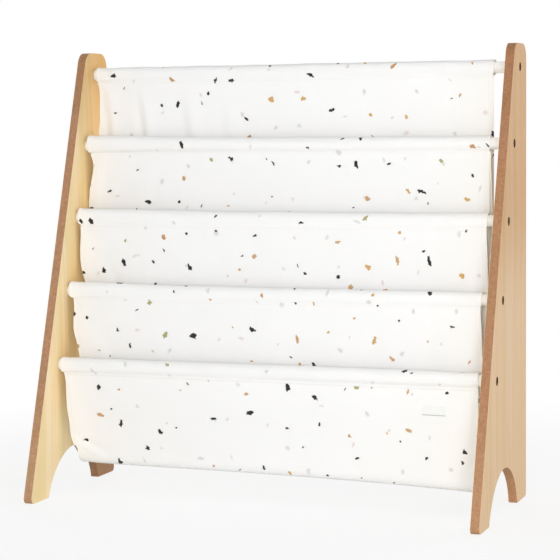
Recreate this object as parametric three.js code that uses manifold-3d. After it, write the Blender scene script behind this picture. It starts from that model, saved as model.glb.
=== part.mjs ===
// A child's sling bookshelf. Two A-shaped boards stand face to face, five steel tubes
// join them, and one long cloth is sewn round the tubes so that it hangs in four pockets.
// Millimetres, +Z up, front towards -Y. The origin lies on the floor, midway between the
// boards and midway between the front toes and the upright rear edges.
import * as THREE from "three";
import { mergeVertices } from "three/addons/utils/BufferGeometryUtils.js";
import Module from "manifold-3d";

const wasm = await Module();
wasm.setup();

// Overall sizes
const overallWidth = 630;
const overallDepth = 258;
const overallHeight = 610;

// Gap left between two pieces that touch
const touchGap = 0.3;
// How far a cutting tool runs past the face it leaves
const overrun = 1;

// Side boards: the rear edge is upright and the front edge leans back
const board = {
  thickness: 12,
  topDepth: 64,
  topRadius: 20,
  toeRadius: 7,
  heelRadius: 6,
  frontFoot: 50,
  rearFoot: 52,
  archHeight: 60,
  curveSteps: 10,
};
// The arch between the feet: where its top lies between them, and how its curves leave
// each end, as shares of the half span and of the height
const archTopShare = 0.52;
const archFrontShares = { run: 0.1, rise: 0.43, crown: 0.49 };
const archRearShares = { run: 0.08, rise: 0.6, crown: 0.47 };

// Cross tubes, from the top one down, all the same distance behind the front edge
const tube = {
  count: 5,
  diameter: 16,
  wall: 1.2,
  inset: 38,
  topDrop: 31,
  lowestHeight: 179,
  steps: 16,
};

// Socket-head bolts, sunk in the outer faces, and the threaded plugs in the tube ends
const bolt = {
  diameter: 6,
  length: 26,
  headDiameter: 10,
  headHeight: 5.5,
  socketAcross: 5,
  socketDepth: 3,
  edge: 0.6,
  steps: 20,
};
const socketSides = 6;
const counterbore = { clearance: 1, depth: 7 };
const plug = { length: 18, lead: 1.5, steps: 20 };

// Sling: cloth thickness, side play between the boards, and the sewn sleeves
const cloth = {
  thickness: 1,
  sidePlay: 10,
  underTube: 2.4,
  seamBand: 2.5,
  arcSteps: 12,
};
// How far each sleeve has slid along its tube, as a share of the side play
const sleeveShiftShares = [-0.7, -0.75, -0.5, -0.55, -0.5];

// Pockets: each hangs from one sleeve, turns below the next tube and climbs to it
const pocket = {
  floorClearance: 31,
  rightSag: 9,
  rearLean: 3,
  frontLean: 6,
  edgePull: 10,
  cornerPull: 10,
  cornerLift: 2,
  edgeBow: 5,
  foldDepth: 3,
  columns: 18,
  rearRows: 10,
  bendRows: 7,
  frontRows: 6,
};
// Soft folds of a hanging sheet: waves across its width, how far they slant on the way
// down and the first one's place in each pocket. They fade towards the right.
const foldWaves = 9;
const foldSlantShare = 0.07;
const foldStartShares = [0.1, 0.45, 0.7, 0.3];
// Powers that crowd the columns to the left, where the folds are, that fade the folds, the
// right end's sag and the left corner's lift, and that draw the side edges in near the bend
const columnPower = 1.4;
const fadePower = 3;
const sagPower = 3;
const liftPower = 18;
const pullPower = 3;
const cornerPower = 14;
// Share of the height, from the seam down, over which a side edge bows inwards, and how
// much of the left edge's bow and pull the right edge has
const bowShare = 0.35;
const rightPullShare = 0.2;
// How quickly a hanging sheet straightens below its seam, as a share of its own height
const seamEaseShare = 0.45;

// Blank sewn label near the right end of the lowest pocket's front
const label = { width: 31, height: 12, thickness: 0.5, standOff: 0.35 };
const labelAcrossShare = 0.9;
const labelUpShare = 0.86;

// Distances that follow from the sizes above
const innerHalf = overallWidth / 2 - board.thickness;
const outerHalf = overallWidth / 2;
const frontY = -overallDepth / 2;
const rearY = overallDepth / 2;
const topFrontY = rearY - board.topDepth;
const tubeRadius = tube.diameter / 2;
const tubeBore = tubeRadius - tube.wall;
const sleeveInner = tubeRadius + touchGap;
const sleeveOuter = sleeveInner + cloth.thickness;
const seamTop = -(sleeveInner + cloth.underTube);
const seamBottom = seamTop - cloth.seamBand;
const slingWidth = 2 * (innerHalf - cloth.sidePlay);
const tubePitch = (overallHeight - tube.topDrop - tube.lowestHeight) / (tube.count - 1);
const pocketDepth = tube.lowestHeight - pocket.floorClearance - pocket.rightSag;
const pocketRows = pocket.rearRows + pocket.bendRows + pocket.frontRows;

const finish = {
  board: { color: 0xdcbd95, roughness: 0.55, metalness: 0 },
  tube: { color: 0xf4f3f0, roughness: 0.25, metalness: 0 },
  bolt: { color: 0x4a3620, roughness: 0.4, metalness: 1 },
  plug: { color: 0xb9b9b4, roughness: 0.4, metalness: 1 },
  cloth: { color: 0xfaf6f2, roughness: 0.9, metalness: 0 },
  label: { color: 0xf6f3ec, roughness: 0.8, metalness: 0 },
};

const bookshelf = new THREE.Group();

function addPiece(name, geometry, look, parent = bookshelf) {
  const mesh = new THREE.Mesh(geometry, new THREE.MeshStandardMaterial(finish[look]));
  mesh.name = name;
  parent.add(mesh);
  return mesh;
}

// Turns a geometry drawn in X and Y and raised along Z so that it is drawn in Y and Z and
// runs along X
function alongX(geometry) {
  const turn = new THREE.Matrix4().makeBasis(
    new THREE.Vector3(0, 1, 0),
    new THREE.Vector3(0, 0, 1),
    new THREE.Vector3(1, 0, 0),
  );
  return geometry.applyMatrix4(turn);
}

function extruded(shape, depth, curveSegments) {
  return new THREE.ExtrudeGeometry(shape, { depth, curveSegments, bevelEnabled: false });
}

// Revolves a profile of [radius, height] pairs round Z
function revolved(profile, steps) {
  const points = profile.map(([radius, height]) => new THREE.Vector2(radius, height));
  return new THREE.LatheGeometry(points, steps).rotateX(Math.PI / 2);
}

function toSolid(geometry) {
  const bare = geometry.clone();
  bare.deleteAttribute("normal");
  bare.deleteAttribute("uv");
  const merged = mergeVertices(bare);
  return new wasm.Manifold(new wasm.Mesh({
    numProp: 3,
    vertProperties: new Float32Array(merged.attributes.position.array),
    triVerts: new Uint32Array(merged.index.array),
  }));
}

function toGeometry(solid) {
  const mesh = solid.getMesh();
  const geometry = new THREE.BufferGeometry();
  geometry.setAttribute("position", new THREE.BufferAttribute(new Float32Array(mesh.vertProperties), 3));
  geometry.setIndex(new THREE.BufferAttribute(new Uint32Array(mesh.triVerts), 1));
  geometry.computeVertexNormals();
  return geometry;
}

// Where the front edge of a board lies at a height: it touches the rounded toe, whose own
// foremost point is the front of the whole shelf
function frontEdgeY(height) {
  const run = topFrontY - (frontY + board.toeRadius);
  const rise = overallHeight - board.toeRadius;
  const lean = Math.atan2(run, rise) + Math.asin(board.toeRadius / Math.hypot(run, rise));
  return topFrontY - (overallHeight - height) * Math.tan(lean);
}

function tubeCentre(index) {
  const z = overallHeight - tube.topDrop - index * tubePitch;
  return { y: frontEdgeY(z) + tube.inset, z };
}

function centreShift(index) {
  return sleeveShiftShares[index % sleeveShiftShares.length] * cloth.sidePlay;
}

// Draws to a corner and round it with an arc that touches both of its sides
function roundCorner(path, before, corner, after, radius) {
  const back = before.clone().sub(corner).normalize();
  const ahead = after.clone().sub(corner).normalize();
  const half = Math.acos(THREE.MathUtils.clamp(back.dot(ahead), -1, 1)) / 2;
  const middle = back.clone().add(ahead).normalize();
  const centre = corner.clone().addScaledVector(middle, radius / Math.sin(half));
  const start = corner.clone().addScaledVector(back, radius / Math.tan(half)).sub(centre);
  const end = corner.clone().addScaledVector(ahead, radius / Math.tan(half)).sub(centre);
  const clockwise = back.cross(ahead) > 0;
  path.absarc(centre.x, centre.y, radius, start.angle(), end.angle(), clockwise);
}

// A board's outline in depth and height: front toe, leaning edge, top, rear edge, feet, arch
function boardOutline() {
  const archFront = frontY + board.frontFoot;
  const archRear = rearY - board.rearFoot;
  const archTop = archFront + (archRear - archFront) * archTopShare;
  const frontHalf = archTop - archFront;
  const rearHalf = archRear - archTop;
  const corners = [
    [archFront, 0, 0],
    [frontEdgeY(0), 0, board.toeRadius],
    [topFrontY, overallHeight, board.topRadius],
    [rearY, overallHeight, board.topRadius],
    [rearY, 0, board.heelRadius],
    [archRear, 0, 0],
  ];
  const places = corners.map(([y, z]) => new THREE.Vector2(y, z));
  const outline = new THREE.Shape();
  outline.moveTo(archFront, 0);
  corners.forEach(([, , radius], i) => {
    if (radius > 0) {
      roundCorner(outline, places[i - 1], places[i], places[i + 1], radius);
    }
  });
  outline.lineTo(archRear, 0);
  outline.bezierCurveTo(
    archRear - rearHalf * archRearShares.run, board.archHeight * archRearShares.rise,
    archTop + rearHalf * archRearShares.crown, board.archHeight,
    archTop, board.archHeight,
  );
  outline.bezierCurveTo(
    archTop - frontHalf * archFrontShares.crown, board.archHeight,
    archFront + frontHalf * archFrontShares.run, board.archHeight * archFrontShares.rise,
    archFront, 0,
  );
  return outline;
}

// The stepped hole of one bolt, from the inner face out: shank hole, ledge, counterbore
function boltHole() {
  const shankRadius = bolt.diameter / 2 + touchGap;
  const boreRadius = bolt.headDiameter / 2 + counterbore.clearance;
  const ledge = board.thickness - counterbore.depth;
  return revolved([
    [0, -overrun],
    [shankRadius, -overrun],
    [shankRadius, ledge],
    [boreRadius, ledge],
    [boreRadius, board.thickness + overrun],
    [0, board.thickness + overrun],
  ], bolt.steps);
}

function buildBoard(name, side) {
  const slab = alongX(extruded(boardOutline(), board.thickness, board.curveSteps));
  slab.translate(side > 0 ? innerHalf : -outerHalf, 0, 0);
  let solid = toSolid(slab);
  for (let i = 0; i < tube.count; i += 1) {
    const { y, z } = tubeCentre(i);
    const hole = boltHole().rotateY(side * Math.PI / 2).translate(side * innerHalf, y, z);
    solid = solid.subtract(toSolid(hole));
  }
  addPiece(name, toGeometry(solid), "board");
}

// One tube between the boards
function buildTube(index) {
  const { y, z } = tubeCentre(index);
  const ring = new THREE.Shape().absarc(0, 0, tubeRadius, 0, 2 * Math.PI, false);
  ring.holes.push(new THREE.Path().absarc(0, 0, tubeBore, 0, 2 * Math.PI, true));
  const length = 2 * (innerHalf - touchGap);
  const geometry = alongX(extruded(ring, length, tube.steps));
  const mesh = addPiece(`cross_tube_${index + 1}`, geometry, "tube");
  mesh.position.set(-length / 2, y, z);
}

// A threaded plug, pressed into a tube end, with a tapered lead
function buildPlug(name, parent) {
  const hole = bolt.diameter / 2 + touchGap;
  const outside = tubeBore - touchGap;
  const geometry = revolved([
    [hole, 0],
    [outside, 0],
    [outside, plug.length - plug.lead],
    [outside - plug.lead, plug.length],
    [hole, plug.length],
    [hole, 0],
  ], plug.steps);
  const mesh = addPiece(name, geometry, "plug", parent);
  mesh.position.z = touchGap;
}

// A bolt along Z with its head below the ledge face at zero and its shank running up
function boltGeometry() {
  const shank = bolt.diameter / 2;
  const head = bolt.headDiameter / 2;
  const body = revolved([
    [0, -bolt.headHeight],
    [head - bolt.edge, -bolt.headHeight],
    [head, -bolt.headHeight + bolt.edge],
    [head, 0],
    [shank, 0],
    [shank, bolt.length - bolt.edge],
    [shank - bolt.edge, bolt.length],
    [0, bolt.length],
  ], bolt.steps);
  const cornerRadius = bolt.socketAcross / 2 / Math.cos(Math.PI / socketSides);
  const corners = [];
  for (let i = 0; i < socketSides; i += 1) {
    const corner = new THREE.Vector2(cornerRadius, 0);
    corners.push(corner.rotateAround(new THREE.Vector2(), i * 2 * Math.PI / socketSides));
  }
  const socket = extruded(new THREE.Shape(corners), bolt.socketDepth + overrun, 1);
  socket.translate(0, 0, -bolt.headHeight - overrun);
  return toGeometry(toSolid(body).subtract(toSolid(socket)));
}

// Both end fixings of one tube: the group's +Z runs from the board into the tube
function buildEndFixings(index, sideName, side) {
  const { y, z } = tubeCentre(index);
  const end = new THREE.Group();
  end.position.set(side * innerHalf, y, z);
  end.rotation.y = -side * Math.PI / 2;
  bookshelf.add(end);
  const screw = addPiece(`bolt_${sideName}_${index + 1}`, boltGeometry(), "bolt", end);
  screw.position.z = -(board.thickness - counterbore.depth) - touchGap;
  buildPlug(`threaded_plug_${sideName}_${index + 1}`, end);
}

// A sewn sleeve round a tube: a drop-shaped tunnel that closes in a flat seam below it
function sleeveSection() {
  const half = cloth.thickness;
  const innerAngle = Math.acos(sleeveInner / -seamTop);
  const outerReach = Math.hypot(half, -seamTop);
  const outerAngle = Math.acos(sleeveOuter / outerReach) + Math.atan2(half, -seamTop);
  const down = -Math.PI / 2;
  const section = new THREE.Shape();
  section.moveTo(half, seamBottom);
  section.lineTo(half, seamTop);
  section.absarc(0, 0, sleeveOuter, down + outerAngle, down - outerAngle, false);
  section.lineTo(-half, seamTop);
  section.lineTo(-half, seamBottom);
  const tunnel = new THREE.Path();
  tunnel.absarc(0, 0, sleeveInner, down + innerAngle, down - innerAngle, false);
  tunnel.lineTo(0, seamTop);
  section.holes.push(tunnel);
  return section;
}

function buildSleeve(index) {
  const { y, z } = tubeCentre(index);
  const geometry = alongX(extruded(sleeveSection(), slingWidth, cloth.arcSteps));
  const mesh = addPiece(`sleeve_${index + 1}`, geometry, "cloth");
  mesh.position.set(centreShift(index) - slingWidth / 2, y, z);
}

// The middle line of a pocket's cloth at one column: down from the upper seam, round the
// bend and up to the lower seam
function pocketLine(index, across) {
  const upper = tubeCentre(index);
  const lower = tubeCentre(index + 1);
  const seamOffset = (cloth.thickness + touchGap) / 2;
  const corner = pocket.cornerLift * (1 - across) ** liftPower;
  const depth = pocketDepth + pocket.rightSag * across ** sagPower - corner;
  const rearTop = { y: upper.y - seamOffset, z: upper.z + seamBottom - touchGap };
  const frontTop = { y: lower.y + seamOffset, z: lower.z + seamBottom - touchGap };
  const bendRear = upper.y - pocket.rearLean;
  const bendFront = lower.y + pocket.frontLean;
  const radius = (bendRear - bendFront) / 2;
  const bendZ = lower.z - depth + radius;
  const rearEase = (rearTop.z - bendZ) * seamEaseShare;
  const frontEase = (frontTop.z - bendZ) * seamEaseShare;
  const rear = new THREE.CubicBezierCurve(
    new THREE.Vector2(rearTop.y, rearTop.z),
    new THREE.Vector2(rearTop.y, rearTop.z - rearEase),
    new THREE.Vector2(bendRear, bendZ + rearEase),
    new THREE.Vector2(bendRear, bendZ),
  );
  const bend = new THREE.EllipseCurve(bendFront + radius, bendZ, radius, radius, 0, Math.PI, true);
  const front = new THREE.CubicBezierCurve(
    new THREE.Vector2(bendFront, bendZ),
    new THREE.Vector2(bendFront, bendZ + frontEase),
    new THREE.Vector2(frontTop.y, frontTop.z - frontEase),
    new THREE.Vector2(frontTop.y, frontTop.z),
  );
  return { rear, bend, front };
}

// How far a side edge is drawn in, by how far down the sheet it is
function sidePull(down) {
  return pocket.edgePull * down ** pullPower + pocket.cornerPull * down ** cornerPower;
}

// The inward bow of a side edge just below the seam
function sideBow(down) {
  const share = Math.min(1, down / bowShare);
  const peak = (1 / 3) * (2 / 3) ** 2;
  return pocket.edgeBow * share * (1 - share) ** 2 / peak;
}

// How far the folds stand out in front of a hanging sheet
function foldReach(index, across, down) {
  const start = foldStartShares[index % foldStartShares.length];
  const turns = foldWaves * (across - foldSlantShare * down) - start;
  const fade = Math.sin(Math.PI * down) * (1 - across) ** fadePower;
  return pocket.foldDepth * fade * (1 + Math.cos(2 * Math.PI * turns)) / 2;
}

// A point of a pocket's cloth, by its share across the width and its row
function pocketPoint(index, across, row) {
  const { rear, bend, front } = pocketLine(index, across);
  const bendStart = pocket.rearRows;
  const bendEnd = bendStart + pocket.bendRows;
  let spot = bend.getPoint((row - bendStart) / pocket.bendRows);
  let pull = sidePull(1);
  let fold = 0;
  if (row < bendStart) {
    const step = row / bendStart;
    const down = step * (3 - step) / 2;
    spot = rear.getPoint(down);
    pull = sidePull(down) + sideBow(down);
    fold = foldReach(index, across, down);
  } else if (row > bendEnd) {
    const step = (row - bendEnd) / pocket.frontRows;
    const up = step * (1 + step) / 2;
    spot = front.getPoint(up);
    pull = sidePull(1 - up);
  }
  const shiftStep = (centreShift(index + 1) - centreShift(index)) * row / pocketRows;
  const x = centreShift(index) + shiftStep + (across - 1 / 2) * slingWidth;
  const draw = pull * (1 - across - rightPullShare * across);
  return new THREE.Vector3(x + draw, spot.x - fold, spot.y);
}

// A cloth of even thickness whose middle is given point by point over columns and rows
function sheetSolid(pointAt, columns, rows, thickness) {
  const grid = [];
  for (let j = 0; j <= rows; j += 1) {
    for (let i = 0; i <= columns; i += 1) {
      grid.push(pointAt(i, j));
    }
  }
  const at = (i, j) => j * (columns + 1) + i;
  const layer = grid.length;
  const positions = new Float32Array(2 * layer * 3);
  for (let j = 0; j <= rows; j += 1) {
    for (let i = 0; i <= columns; i += 1) {
      const left = grid[at(Math.max(i - 1, 0), j)];
      const right = grid[at(Math.min(i + 1, columns), j)];
      const before = grid[at(i, Math.max(j - 1, 0))];
      const after = grid[at(i, Math.min(j + 1, rows))];
      const alongStep = after.clone().sub(before);
      if (j === 0 || j === rows) {
        // Both ends hang upright in the seam
        alongStep.set(0, 0, Math.sign(alongStep.z));
      }
      const normal = right.clone().sub(left).cross(alongStep);
      normal.normalize().multiplyScalar(thickness / 2);
      grid[at(i, j)].clone().add(normal).toArray(positions, at(i, j) * 3);
      grid[at(i, j)].clone().sub(normal).toArray(positions, (layer + at(i, j)) * 3);
    }
  }
  const faces = [];
  const quad = (a, b, c, d) => faces.push(a, b, c, a, c, d);
  for (let j = 0; j < rows; j += 1) {
    for (let i = 0; i < columns; i += 1) {
      const corners = [at(i, j), at(i + 1, j), at(i + 1, j + 1), at(i, j + 1)];
      quad(...corners);
      quad(...corners.map((k) => k + layer).reverse());
    }
  }
  const wall = (a, b) => quad(a + layer, b + layer, b, a);
  for (let i = 0; i < columns; i += 1) {
    wall(at(i, 0), at(i + 1, 0));
    wall(at(i + 1, rows), at(i, rows));
  }
  for (let j = 0; j < rows; j += 1) {
    wall(at(columns, j), at(columns, j + 1));
    wall(at(0, j + 1), at(0, j));
  }
  const geometry = new THREE.BufferGeometry();
  geometry.setAttribute("position", new THREE.BufferAttribute(positions, 3));
  geometry.setIndex(faces);
  geometry.computeVertexNormals();
  return geometry;
}

function buildPocket(index) {
  const pointAt = (i, j) => pocketPoint(index, (i / pocket.columns) ** columnPower, j);
  const geometry = sheetSolid(pointAt, pocket.columns, pocketRows, cloth.thickness);
  addPiece(`pocket_${index + 1}`, geometry, "cloth");
}

// The label lies flat against the front of the lowest pocket
function buildLabel() {
  const lowest = tube.count - 2;
  const row = pocket.rearRows + pocket.bendRows + pocket.frontRows * labelUpShare;
  const nearby = 1 / pocket.columns;
  const centre = pocketPoint(lowest, labelAcrossShare, row);
  const above = pocketPoint(lowest, labelAcrossShare, row + nearby);
  const up = above.sub(centre).normalize();
  const right = new THREE.Vector3(1, 0, 0);
  const outward = right.clone().cross(up).normalize();
  const geometry = new THREE.BoxGeometry(label.width, label.height, label.thickness);
  geometry.applyMatrix4(new THREE.Matrix4().makeBasis(right, up, outward));
  const mesh = addPiece("sewn_label", geometry, "label");
  const lift = cloth.thickness / 2 + label.standOff + label.thickness / 2;
  mesh.position.copy(centre).addScaledVector(outward, lift);
}

buildBoard("side_board_left", -1);
buildBoard("side_board_right", 1);
for (let i = 0; i < tube.count; i += 1) {
  buildTube(i);
  buildEndFixings(i, "left", -1);
  buildEndFixings(i, "right", 1);
  buildSleeve(i);
}
for (let i = 0; i < tube.count - 1; i += 1) {
  buildPocket(i);
}
buildLabel();

export default bookshelf;
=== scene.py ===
import math

import bpy
import numpy as np
from mathutils import Matrix, Vector


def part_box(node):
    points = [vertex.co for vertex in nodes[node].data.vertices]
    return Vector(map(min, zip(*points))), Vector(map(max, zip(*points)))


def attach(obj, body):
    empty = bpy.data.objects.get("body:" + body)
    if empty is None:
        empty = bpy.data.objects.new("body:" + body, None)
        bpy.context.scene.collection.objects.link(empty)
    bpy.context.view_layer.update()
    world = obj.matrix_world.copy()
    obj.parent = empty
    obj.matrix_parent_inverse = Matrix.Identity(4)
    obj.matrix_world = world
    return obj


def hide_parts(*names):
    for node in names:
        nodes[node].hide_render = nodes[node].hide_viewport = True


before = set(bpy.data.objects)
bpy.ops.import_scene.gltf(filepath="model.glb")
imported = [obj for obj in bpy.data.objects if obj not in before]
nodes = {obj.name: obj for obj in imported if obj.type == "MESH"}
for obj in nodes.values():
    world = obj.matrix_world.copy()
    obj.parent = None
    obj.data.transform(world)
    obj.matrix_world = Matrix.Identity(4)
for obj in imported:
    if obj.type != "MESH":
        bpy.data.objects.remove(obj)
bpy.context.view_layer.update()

# Looks of a children's sling bookshelf: two fibreboard sides with a pale wood face, five white
# tubes and one printed cloth sewn round them. Metres, Z up, origin on the floor under the middle.
mm = 0.001
rodCount = 5
rods = []
for number in range(1, rodCount + 1):
    low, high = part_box(f"cross_tube_{number}")
    rods.append((low + high) / 2)
boardInner, boardOuter = (corner.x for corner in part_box("side_board_right"))
low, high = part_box("bolt_right_1")
boltHead = high.z - low.z
print("frame loaded,", len(nodes), "pieces")


def addObject(name, data):
    made = bpy.data.objects.new(name, data)
    bpy.context.scene.collection.objects.link(made)
    return made


# Camera, at the place that the photograph was taken from
camera = {
    "spot": (870.318 * mm, -2328.246 * mm, 513.165 * mm),
    "turn": 20.2992,  # degrees left of straight ahead
    "tilt": -4.9294,
    "roll": -0.6125,
    "lens": 119.59,
    "sensor": 36,
    "nearest": 50 * mm,
    "farthest": 200,
}


def addCamera():
    turn, tilt, roll = (math.radians(camera[name]) for name in ("turn", "tilt", "roll"))
    level = Vector((math.cos(turn), math.sin(turn), 0))
    ahead = Vector((-math.sin(turn), math.cos(turn), 0)) * math.cos(tilt)
    ahead.z = math.sin(tilt)
    over = level.cross(ahead)
    right = level * math.cos(roll) + over * math.sin(roll)
    up = over * math.cos(roll) - level * math.sin(roll)
    data = bpy.data.cameras.new("camera")
    data.lens = camera["lens"]
    data.sensor_width = camera["sensor"]
    data.clip_start = camera["nearest"]
    data.clip_end = camera["farthest"]
    matrix = Matrix((right, up, -ahead)).transposed().to_4x4()
    matrix.translation = Vector(camera["spot"])
    seer = addObject("camera", data)
    seer.matrix_world = matrix
    bpy.context.scene.camera = seer


addCamera()
print("camera placed")


# Helpers for node trees. They build in the tree that was started last. An input that is another
# node's socket is joined, and others are set.
building = {}


def startTree(tree):
    tree.nodes.clear()
    building["tree"] = tree
    return tree


def feed(socket, value):
    if isinstance(value, bpy.types.NodeSocket):
        building["tree"].links.new(value, socket)
    else:
        socket.default_value = (*value, 1) if socket.type == "RGBA" else value


def addNode(kind, inputs=None, **settings):
    node = building["tree"].nodes.new(kind)
    for name, value in settings.items():
        setattr(node, name, value)
    for name, value in (inputs or {}).items():
        feed(node.inputs[name], value)
    return node


def calc(operation, *values):
    return addNode("ShaderNodeMath", dict(enumerate(values)), operation=operation).outputs[0]


def times(first, second):
    return calc("MULTIPLY", first, second)


def timesPlus(first, second, added):
    return calc("MULTIPLY_ADD", first, second, added)


def vectorCalc(operation, first, second):
    place = "Scale" if operation == "SCALE" else 1
    return addNode("ShaderNodeVectorMath", {0: first, place: second}, operation=operation).outputs[0]


def lengthOf(vector):
    return addNode("ShaderNodeVectorMath", {0: vector}, operation="LENGTH").outputs["Value"]


def spotOn():
    return addNode("ShaderNodeTexCoord").outputs["Object"]


def cutOn():
    return addNode("ShaderNodeUVMap", uv_map="cut").outputs["UV"]


def partsOf(vector):
    return addNode("ShaderNodeSeparateXYZ", {"Vector": vector}).outputs


def blendColour(factor, first, second):
    return addNode("ShaderNodeMix", {0: factor, 6: first, 7: second}, data_type="RGBA").outputs[2]


def fadeBetween(value, start, end, low=0, high=1):
    inputs = {"Value": value, "From Min": start, "From Max": end, "To Min": low, "To Max": high}
    return addNode("ShaderNodeMapRange", inputs, interpolation_type="SMOOTHSTEP").outputs["Result"]


def noiseOf(vector, scale, detail=2, roughness=0.5, output=0):
    inputs = {"Vector": vector, "Scale": scale, "Detail": detail, "Roughness": roughness}
    return addNode("ShaderNodeTexNoise", inputs).outputs[output]


# Noise with its own number of turns per metre along x, y and z
def grainOf(vector, turns, detail=2, roughness=0.5):
    return noiseOf(vectorCalc("MULTIPLY", vector, turns), 1, detail, roughness)


# A group takes a vector and numbers, and gives numbers
def newGroup(name, numbers, results):
    tree = startTree(bpy.data.node_groups.new(name, "ShaderNodeTree"))
    sockets = [("Vector", "INPUT", "NodeSocketVector")]
    sockets += [(label, "INPUT", "NodeSocketFloat") for label in numbers]
    sockets += [(label, "OUTPUT", "NodeSocketFloat") for label in results]
    for label, way, kind in sockets:
        tree.interface.new_socket(name=label, in_out=way, socket_type=kind)
    return tree, addNode("NodeGroupInput").outputs, addNode("NodeGroupOutput").inputs


def useGroup(group, vector, **values):
    return addNode("ShaderNodeGroup", {"Vector": vector, **values}, node_tree=group).outputs


def newFinish(name, values):
    finish = bpy.data.materials.new(name)
    finish.use_nodes = True
    startTree(finish.node_tree)
    shader = addNode("ShaderNodeBsdfPrincipled", values)
    addNode("ShaderNodeOutputMaterial", {"Surface": shader.outputs[0]})
    return finish, shader


# Joins a colour, a roughness and a relief to the shader
def dressShader(shader, colour, roughness, height, depth, strength):
    bump = addNode("ShaderNodeBump", {"Height": height, "Distance": depth, "Strength": strength})
    feed(shader.inputs["Base Color"], colour)
    feed(shader.inputs["Roughness"], roughness)
    feed(shader.inputs["Normal"], bump.outputs[0])


# Shared effects. Unevenness is two sizes of soft blotches: a mask for colour and gloss, and a height.
def makeUnevenness():
    tree, take, give = newGroup("unevenness", ("Scale", "Fine", "Contrast"), ("Mask", "Height"))
    fineShare = 0.4
    broad = noiseOf(take["Vector"], take["Scale"], 3)
    fine = noiseOf(take["Vector"], times(take["Scale"], take["Fine"]), 2)
    both = timesPlus(fine, fineShare, times(broad, 1 - fineShare))
    mask = timesPlus(calc("SUBTRACT", both, 0.5), take["Contrast"], 0.5)
    feed(give["Mask"], calc("MINIMUM", calc("MAXIMUM", mask, 0), 1))
    feed(give["Height"], fine)
    return tree


# Plain weave: threads pass over and under each other, Pitch apart, with thick and thin stretches
def makeWeave():
    tree, take, give = newGroup("weave", ("Pitch", "Slub"), ("Height", "Tone"))
    crossTurns, longTurns = 1400, 60  # of the stretches per metre, across a thread and along it
    split = partsOf(take["Vector"])
    across, along = (calc("DIVIDE", split[name], take["Pitch"]) for name in ("X", "Y"))
    steps = calc("ADD", calc("FLOOR", across), calc("FLOOR", along))
    over = calc("FLOORED_MODULO", steps, 2)
    humps = []
    for value in (across, along):
        wave = calc("SINE", times(value, math.pi))
        humps.append(times(wave, wave))
    warp = times(humps[0], timesPlus(humps[1], 0.5, 0.5))
    weft = times(humps[1], timesPlus(humps[0], 0.5, 0.5))
    threads = timesPlus(over, calc("SUBTRACT", warp, weft), weft)
    streaks = []
    for turns in ((longTurns, crossTurns, 1), (crossTurns, longTurns, 1)):
        streaks.append(grainOf(take["Vector"], turns, 1))
    slub = calc("SUBTRACT", calc("ADD", *streaks), 1)
    feed(give["Height"], timesPlus(slub, take["Slub"], threads))
    feed(give["Tone"], slub)
    return tree


chipShape = {
    "seedStep": (0.731, 0.317),  # metres that one seed moves the scatter
    "jitter": 0.78,  # of a cell
    "smallness": 1.3,  # above 1, most chips are small
    "shortness": 1.5,
    "nearest": 0.3,  # how near to the middle a side can be, in radii
    "spread": 0.66,
    "raggedTurns": 1.4,
    "ragged": 0.9,
    "pickTurns": 13,
}


# Scattered angular chips, at most one to a cell. Pick is a number from 0 to 1 for each chip.
def makeChips():
    numbers = ("Cell", "Radius", "Spread", "Share", "Stretch", "Soft", "Seed")
    tree, take, give = newGroup("chips", numbers, ("Mask", "Pick"))
    moved = {name: times(take["Seed"], step) for name, step in zip("XY", chipShape["seedStep"])}
    offset = addNode("ShaderNodeCombineXYZ", moved).outputs[0]
    spot = vectorCalc("ADD", take["Vector"], offset)
    scale = calc("DIVIDE", 1, take["Cell"])
    inputs = {"Vector": spot, "Scale": scale, "Randomness": chipShape["jitter"]}
    cells = addNode("ShaderNodeTexVoronoi", inputs, voronoi_dimensions="2D", feature="F1").outputs
    draws = []
    for seed in (1, 2, 3):
        inputs = {"Vector": cells["Color"], "W": seed}
        dice = addNode("ShaderNodeTexWhiteNoise", inputs, noise_dimensions="4D").outputs["Color"]
        draws += list(addNode("ShaderNodeSeparateColor", {"Color": dice}).outputs)
    sizeDraw, turnDraw, stretchDraw, *sideDraws, shareDraw = draws
    local = vectorCalc("SUBTRACT", spot, cells["Position"])
    spread = timesPlus(calc("POWER", sizeDraw, chipShape["smallness"]), 2, -1)
    radius = times(take["Radius"], timesPlus(spread, take["Spread"], 1))
    unit = vectorCalc("SCALE", local, calc("DIVIDE", 1, radius))
    inputs = {"Vector": unit, "Angle": times(turnDraw, 2 * math.pi)}
    turned = addNode("ShaderNodeVectorRotate", inputs, rotation_type="Z_AXIS").outputs[0]
    shaky = vectorCalc("ADD", turned, cells["Color"])
    shaky = noiseOf(shaky, chipShape["raggedTurns"], 1, output="Color")
    nudge = vectorCalc("SUBTRACT", shaky, (0.5, 0.5, 0.5))
    nudge = vectorCalc("SCALE", nudge, chipShape["ragged"])
    split = partsOf(vectorCalc("ADD", turned, nudge))
    extra = calc("SUBTRACT", take["Stretch"], 1)
    stretch = timesPlus(calc("POWER", stretchDraw, chipShape["shortness"]), extra, 1)
    across = calc("DIVIDE", split["X"], stretch)
    along = times(split["Y"], stretch)
    edge = None
    for side, draw in enumerate(sideDraws):  # straight sides at chance distances
        angle = 2 * math.pi * side / len(sideDraws)
        reach = timesPlus(along, math.sin(angle), times(across, math.cos(angle)))
        sideAt = timesPlus(draw, chipShape["spread"], chipShape["nearest"])
        past = calc("SUBTRACT", reach, sideAt)
        edge = past if edge is None else calc("MAXIMUM", edge, past)
    inward, soft = times(edge, -1), take["Soft"]
    inside = fadeBetween(inward, times(soft, -1), soft)
    kept = calc("LESS_THAN", shareDraw, take["Share"])
    feed(give["Mask"], times(inside, kept))
    feed(give["Pick"], calc("FRACT", times(turnDraw, chipShape["pickTurns"])))
    return tree


unevenness = makeUnevenness()
weave = makeWeave()
chips = makeChips()
print("shared effects ready")


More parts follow.
